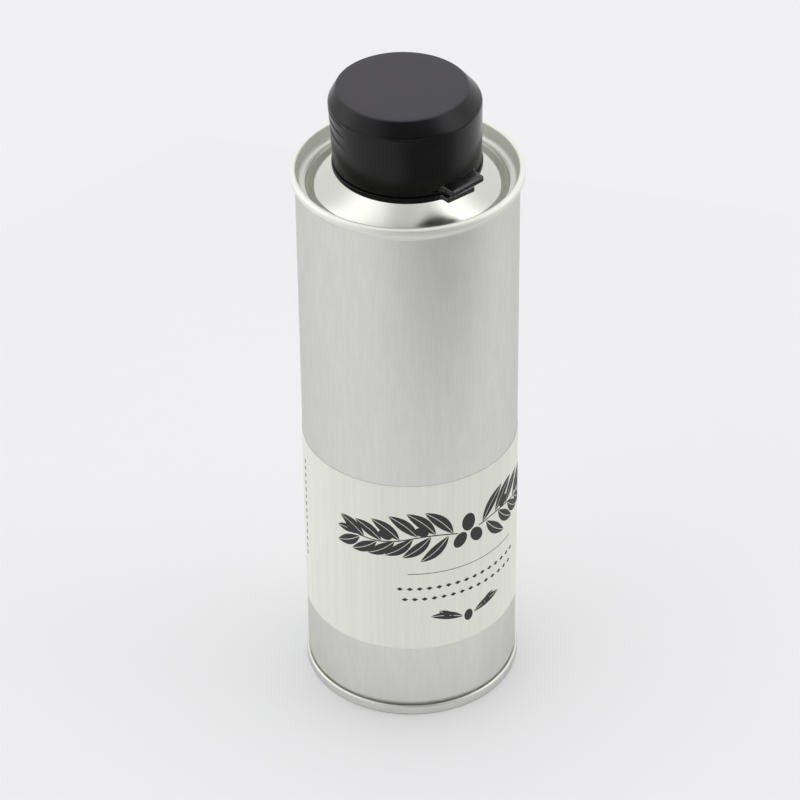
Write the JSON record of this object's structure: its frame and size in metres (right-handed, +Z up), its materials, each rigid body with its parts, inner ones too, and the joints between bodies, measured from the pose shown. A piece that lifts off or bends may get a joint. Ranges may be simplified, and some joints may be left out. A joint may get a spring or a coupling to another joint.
{
  "type": "olive oil tin",
  "caption": "Tall round tinplate oil tin with double seams, a paper label, a cone top and a black push-fit flip-top pouring closure.",
  "frame": {"origin": "centre of the tin's foot, on the surface that it stands on", "axes": "+Z up along the tin's axis, -Y towards the thumb tab of the lid, +Y towards its hinge, +X to the right seen from the tab"},
  "size_m": [0.0544, 0.0544, 0.1643],
  "materials": {
    "tinplate": "satin tinplate, rolled finish",
    "seam_compound": "dried sealing compound",
    "label_paper": "uncoated off-white paper",
    "black_polypropylene": "moulded, fine satin texture",
    "natural_polyethylene": "moulded, milky and slightly waxy"
  },
  "bodies": {
    "tin": {"can_body": "tinplate", "bottom_end": "tinplate", "bottom_seam_compound": "seam_compound", "top_end": "tinplate", "top_seam_compound": "seam_compound", "label": "label_paper", "closure_base": "black_polypropylene", "pour_spout": "natural_polyethylene", "pull_seal": "natural_polyethylene", "hinge_web": "black_polypropylene"},
    "lid": {"closure_lid": "black_polypropylene"}
  },
  "joints": [
    {"name": "lid_hinge", "type": "hinge", "parent": "tin", "child": "lid", "pos_m": [0, 0.01775, 0.14582], "axis": [-1, 0, 0], "range_deg": [0, 102]}
  ]
}
